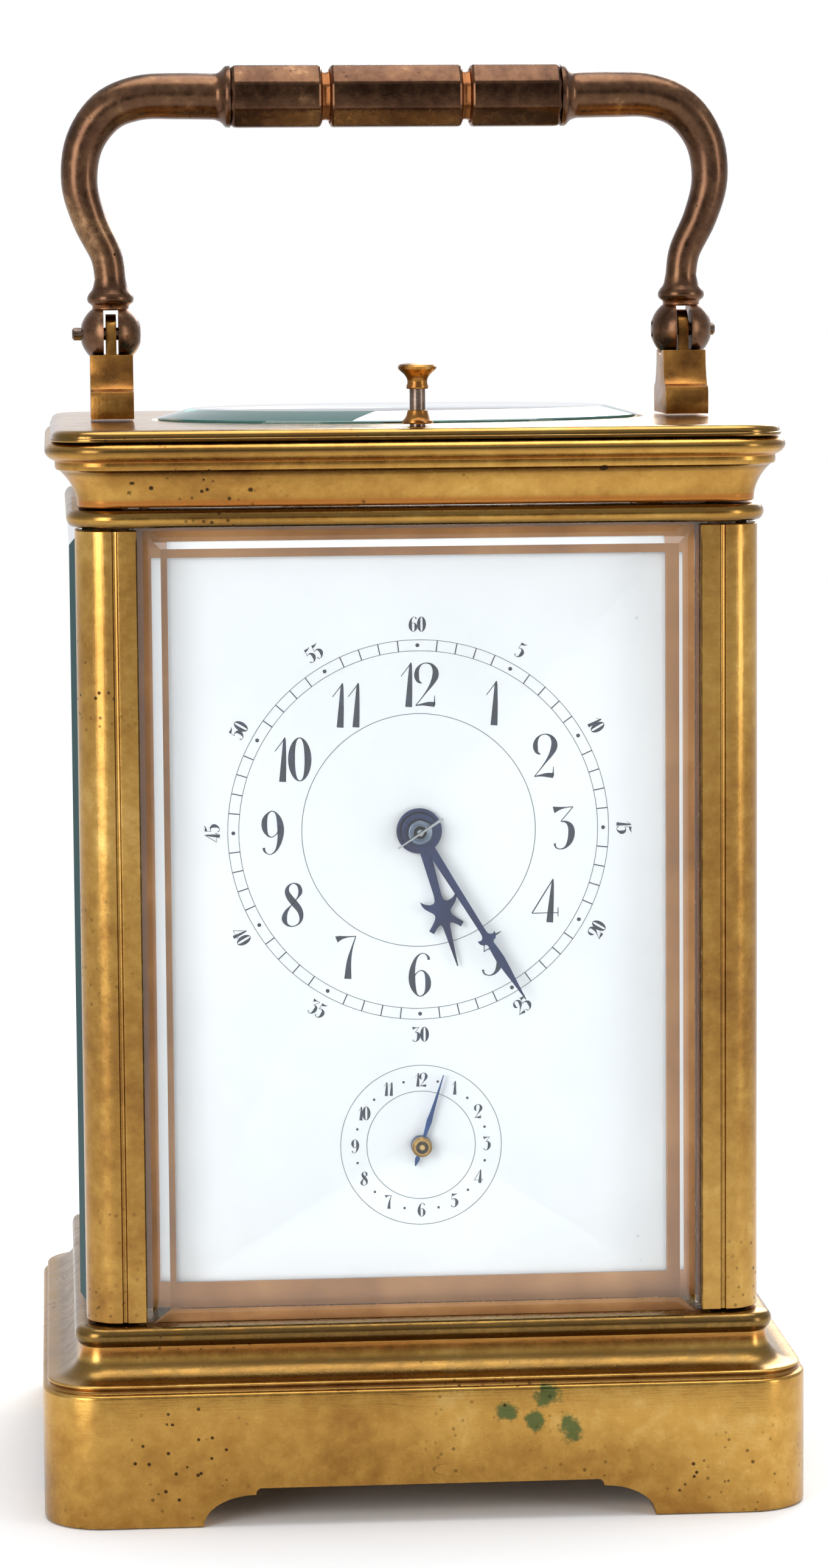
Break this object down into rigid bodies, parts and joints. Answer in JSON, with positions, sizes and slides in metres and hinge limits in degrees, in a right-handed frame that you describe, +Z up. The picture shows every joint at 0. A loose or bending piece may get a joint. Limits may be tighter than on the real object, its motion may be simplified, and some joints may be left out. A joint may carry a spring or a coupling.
{
  "type": "travel alarm clock",
  "caption": "Brass carriage clock with a drop handle, bevelled glass sides, white enamel dial, alarm ring and repeat button.",
  "frame": {"origin": "centre of the footprint, on the surface that the feet stand on", "axes": "+Z up, the dial faces -Y, +X is to the right of a person who looks at the dial"},
  "size_m": [0.094, 0.082, 0.1777],
  "materials": {
    "gilt_brass": "aged gilt, satin, with brown patina and wear",
    "handle_bronze": "dark oxidised, satin, lighter on the edges",
    "bevelled_glass": "clear, polished bevels",
    "white_enamel": "cool white gloss enamel with black numerals",
    "blued_steel": "dark blue, polished",
    "polished_steel": "polished",
    "plate_brass": "polished and lacquered",
    "mask_brass": "dark brown, satin"
  },
  "bodies": {
    "case": {"base_plinth": "gilt_brass", "base_plate": "plate_brass", "pillar_front_left": "gilt_brass", "pillar_front_right": "gilt_brass", "pillar_rear_left": "gilt_brass", "pillar_rear_right": "gilt_brass", "top_rail": "gilt_brass", "cornice": "gilt_brass", "top_plate": "gilt_brass", "top_glass": "bevelled_glass", "front_glass": "bevelled_glass", "left_glass": "bevelled_glass", "right_glass": "bevelled_glass", "rear_door_pin_top": "polished_steel", "rear_door_pin_bottom": "polished_steel", "handle_post_left": "handle_bronze", "handle_post_right": "handle_bronze", "repeat_bush": "gilt_brass", "dial": "white_enamel", "dial_mask": "mask_brass", "movement_front_plate": "plate_brass", "movement_back_plate": "plate_brass", "platform": "plate_brass", "balance_cock": "plate_brass", "balance_spring": "blued_steel", "gong": "blued_steel"},
    "handle": {"handle_arm_left": "handle_bronze", "handle_arm_right": "handle_bronze", "handle_grip": "handle_bronze", "handle_pin_left": "polished_steel", "handle_pin_right": "polished_steel"},
    "repeat_button": {"repeat_button": "gilt_brass"},
    "rear_door": {"rear_door_frame": "gilt_brass", "rear_door_glass": "bevelled_glass", "rear_door_knob": "gilt_brass"},
    "minute_group": {"cannon_pinion": "plate_brass", "minute_hand": "blued_steel", "hand_collet": "polished_steel", "hand_pin": "polished_steel"},
    "minute_wheel": {"minute_wheel": "plate_brass"},
    "hour_group": {"hour_wheel": "plate_brass", "hour_hand": "blued_steel"},
    "alarm_group": {"alarm_arbor": "plate_brass", "alarm_hand": "blued_steel", "alarm_boss": "gilt_brass"},
    "alarm_barrel": {"alarm_barrel": "plate_brass"},
    "going_barrel": {"going_barrel": "plate_brass"},
    "going_arbor": {"going_arbor": "polished_steel"},
    "center_wheel": {"center_wheel": "plate_brass"},
    "third_wheel": {"third_wheel": "plate_brass"},
    "contrate_wheel": {"contrate_wheel": "plate_brass"},
    "escape_wheel": {"escape_wheel": "plate_brass"},
    "lever": {"lever": "polished_steel"},
    "balance": {"balance_wheel": "plate_brass"},
    "strike_barrel": {"strike_barrel": "plate_brass"},
    "strike_arbor": {"strike_arbor": "polished_steel"},
    "strike_wheel": {"strike_wheel": "plate_brass"},
    "pin_wheel": {"pin_wheel": "plate_brass"},
    "fly": {"fly": "polished_steel"},
    "hammer": {"hammer": "polished_steel"}
  },
  "joints": [
    {"name": "handle_fold", "type": "hinge", "parent": "case", "child": "handle", "pos_m": [0, 0, 0.1439], "axis": [1, 0, 0], "range_deg": [-90, 84]},
    {"name": "repeat_press", "type": "slide", "parent": "case", "child": "repeat_button", "axis": [0, 0, -1], "range_m": [0, 0.0024], "stiffness_N_per_m": 400, "springref_m": -0.001},
    {"name": "rear_door_swing", "type": "hinge", "parent": "case", "child": "rear_door", "pos_m": [-0.0319, 0.0329, 0.073], "axis": [0, 0, 1], "range_deg": [0, 105]},
    {"name": "minute_turn", "type": "hinge", "parent": "case", "child": "minute_group", "pos_m": [0, -0.03, 0.0836], "axis": [0, 1, 0], "continuous": true},
    {"name": "minute_wheel_turn", "type": "hinge", "parent": "case", "child": "minute_wheel", "pos_m": [-0.00786, -0.02, 0.07809], "axis": [0, 1, 0], "continuous": true},
    {"name": "hour_turn", "type": "hinge", "parent": "case", "child": "hour_group", "pos_m": [0, -0.029, 0.0836], "axis": [0, 1, 0], "continuous": true},
    {"name": "alarm_set", "type": "hinge", "parent": "case", "child": "alarm_group", "pos_m": [0, -0.029, 0.0445], "axis": [0, 1, 0], "continuous": true},
    {"name": "alarm_wind", "type": "hinge", "parent": "case", "child": "alarm_barrel", "pos_m": [0.014, 0, 0.042], "axis": [0, 1, 0], "continuous": true},
    {"name": "going_barrel_turn", "type": "hinge", "parent": "case", "child": "going_barrel", "pos_m": [-0.0152, 0, 0.0772], "axis": [0, 1, 0], "continuous": true},
    {"name": "going_wind", "type": "hinge", "parent": "case", "child": "going_arbor", "pos_m": [-0.0152, 0, 0.0772], "axis": [0, 1, 0], "continuous": true},
    {"name": "center_turn", "type": "hinge", "parent": "case", "child": "center_wheel", "pos_m": [0, 0, 0.0836], "axis": [0, 1, 0], "continuous": true},
    {"name": "third_turn", "type": "hinge", "parent": "case", "child": "third_wheel", "pos_m": [-0.0062, 0, 0.09293], "axis": [0, 1, 0], "continuous": true},
    {"name": "contrate_turn", "type": "hinge", "parent": "case", "child": "contrate_wheel", "pos_m": [0, 0, 0.1023], "axis": [0, 1, 0], "continuous": true},
    {"name": "escape_turn", "type": "hinge", "parent": "case", "child": "escape_wheel", "pos_m": [0, -0.0044, 0.115], "axis": [0, 0, 1], "continuous": true},
    {"name": "lever_rock", "type": "hinge", "parent": "case", "child": "lever", "pos_m": [-0.0046, -0.002, 0.116], "axis": [0, 0, 1], "range_deg": [-5, 5]},
    {"name": "balance_swing", "type": "hinge", "parent": "case", "child": "balance", "pos_m": [-0.0094, 0.0006, 0.118], "axis": [0, 0, 1], "range_deg": [-220, 220], "stiffness_Nm_per_rad": 0.0000035},
    {"name": "strike_barrel_turn", "type": "hinge", "parent": "case", "child": "strike_barrel", "pos_m": [0.0152, 0, 0.0772], "axis": [0, 1, 0], "continuous": true},
    {"name": "strike_wind", "type": "hinge", "parent": "case", "child": "strike_arbor", "pos_m": [0.0152, 0, 0.0772], "axis": [0, 1, 0], "continuous": true},
    {"name": "strike_turn", "type": "hinge", "parent": "case", "child": "strike_wheel", "pos_m": [0.0175, 0, 0.09354], "axis": [0, 1, 0], "continuous": true},
    {"name": "pin_wheel_turn", "type": "hinge", "parent": "case", "child": "pin_wheel", "pos_m": [0.012, 0, 0.1033], "axis": [0, 1, 0], "continuous": true},
    {"name": "fly_turn", "type": "hinge", "parent": "case", "child": "fly", "pos_m": [0.0194, 0, 0.1015], "axis": [0, 1, 0], "continuous": true},
    {"name": "hammer_swing", "type": "hinge", "parent": "case", "child": "hammer", "pos_m": [-0.025, 0.018, 0.066], "axis": [0, 1, 0], "range_deg": [-3, 12], "stiffness_Nm_per_rad": 0.0005}
  ],
  "couplings": [
    {"joint": "minute_wheel_turn", "follows": "minute_turn", "ratio": -0.33333},
    {"joint": "hour_turn", "follows": "minute_turn", "ratio": 0.083333},
    {"joint": "center_turn", "follows": "third_turn", "ratio": -0.16667},
    {"joint": "going_barrel_turn", "follows": "third_turn", "ratio": 0.025641},
    {"joint": "contrate_turn", "follows": "third_turn", "ratio": -6},
    {"joint": "escape_turn", "follows": "third_turn", "ratio": 24},
    {"joint": "strike_barrel_turn", "follows": "strike_turn", "ratio": -0.15385},
    {"joint": "pin_wheel_turn", "follows": "strike_turn", "ratio": -6},
    {"joint": "fly_turn", "follows": "strike_turn", "ratio": 24}
  ]
}
